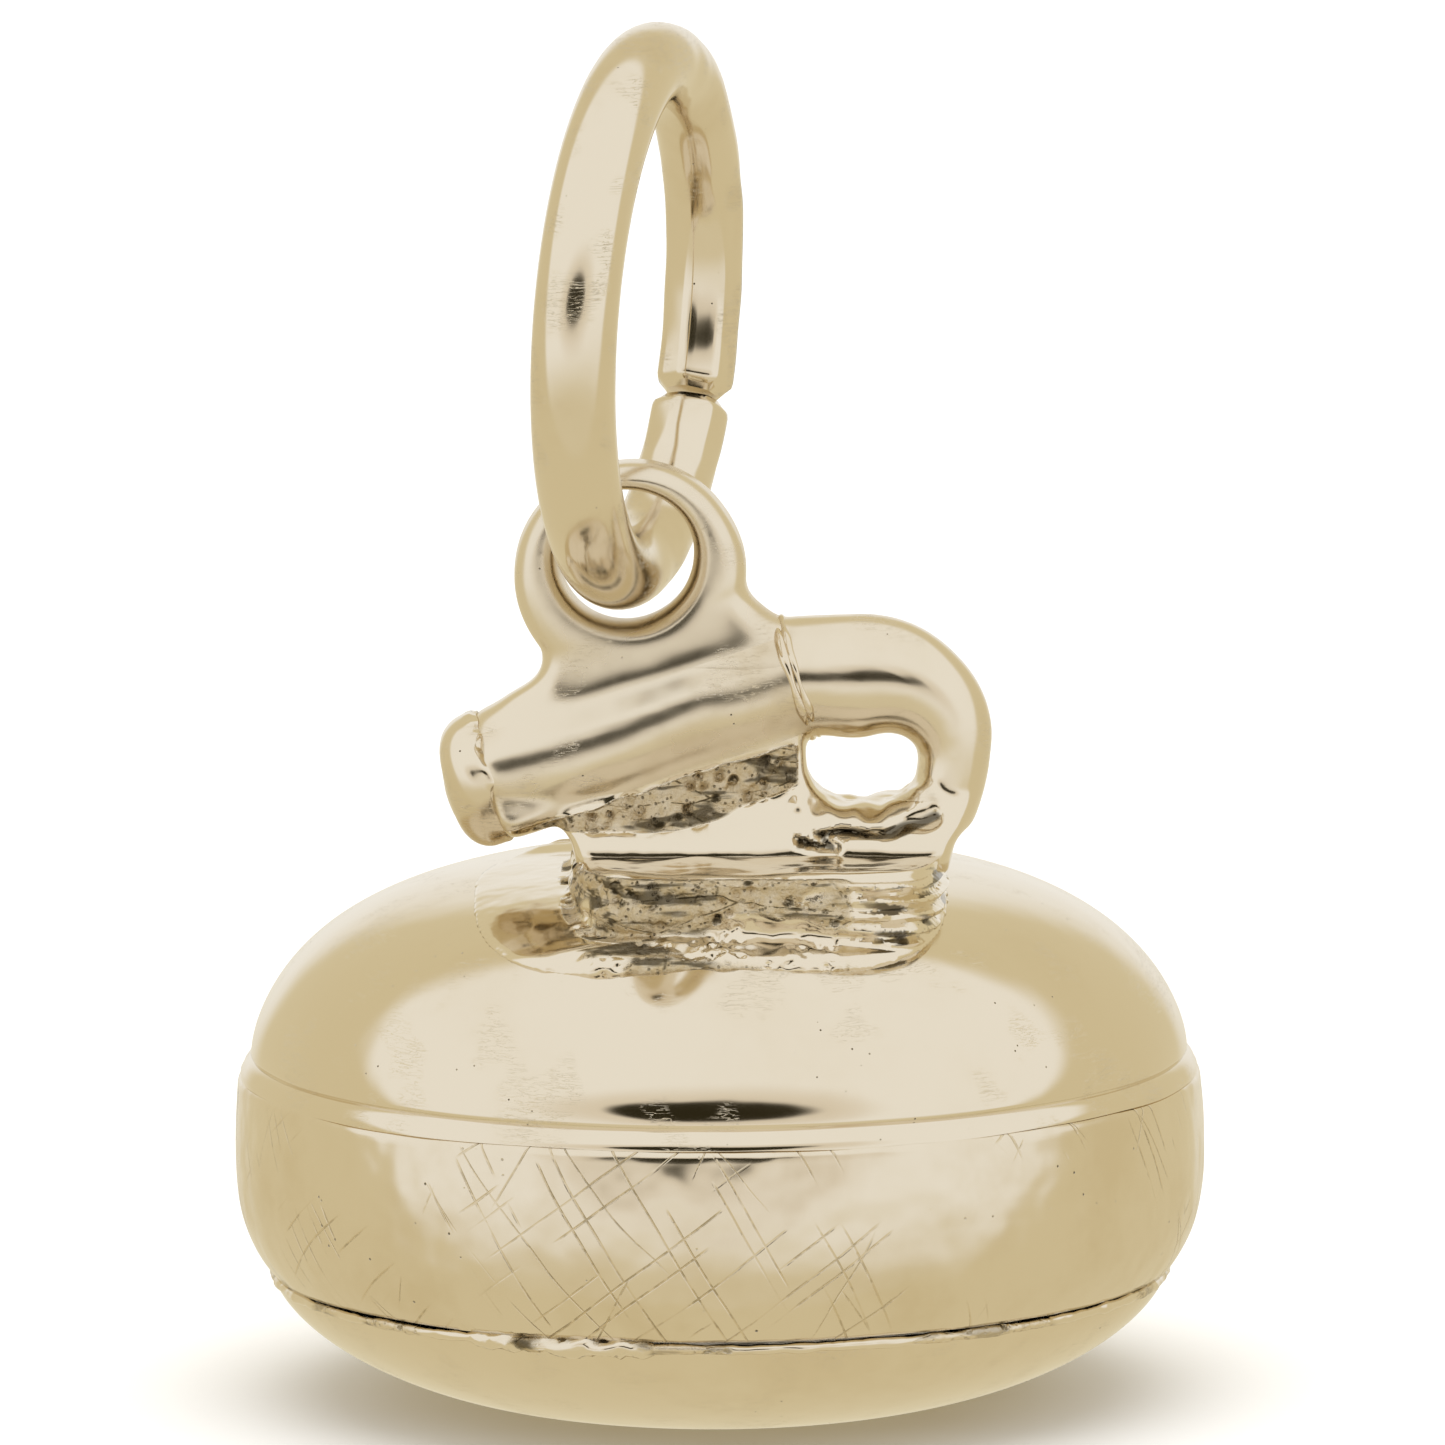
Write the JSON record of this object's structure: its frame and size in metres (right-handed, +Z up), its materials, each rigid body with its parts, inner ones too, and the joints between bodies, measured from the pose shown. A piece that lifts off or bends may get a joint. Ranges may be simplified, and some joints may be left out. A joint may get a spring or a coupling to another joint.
{
  "type": "curling stone charm",
  "caption": "Small hollow gold charm shaped like a curling stone, with a gooseneck handle on a foot, a bail on the grip and an open jump ring that swings in the bail.",
  "frame": {"origin": "centre of the base's standing face, on the stone's axis", "axes": "+Z up along the stone's axis, +X towards the gooseneck end of the handle, -Y towards the side on which the handle stands"},
  "size_m": [0.0114, 0.0114, 0.0163],
  "materials": {
    "dome_gold": "polished, with soft casting waves",
    "band_gold": "hand engraved with a cross-hatch, satin between the cuts",
    "solder": "rough solder",
    "base_gold": "polished",
    "foot_gold": "porous casting",
    "web_gold": "porous casting, polished on its raised edges",
    "grip_gold": "polished",
    "cap_gold": "polished",
    "collar_gold": "polished beads",
    "neck_gold": "polished",
    "bail_gold": "polished",
    "ring_gold": "bright drawn wire with plier marks"
  },
  "bodies": {
    "charm": {"stone_top_shell": "dome_gold", "striking_band": "band_gold", "base_solder_seam": "solder", "stone_base_shell": "base_gold", "handle_foot": "foot_gold", "handle_web": "web_gold", "handle_grip": "grip_gold", "grip_end_cap": "cap_gold", "grip_collar": "collar_gold", "gooseneck": "neck_gold", "bail": "bail_gold"},
    "ring": {"jump_ring": "ring_gold"}
  },
  "joints": [
    {"name": "ring_swing", "type": "hinge", "parent": "charm", "child": "ring", "pos_m": [-0.00101, -0.0015, 0.00995], "axis": [0.2504, 0.9681, 0], "range_deg": [-130, 125]}
  ]
}
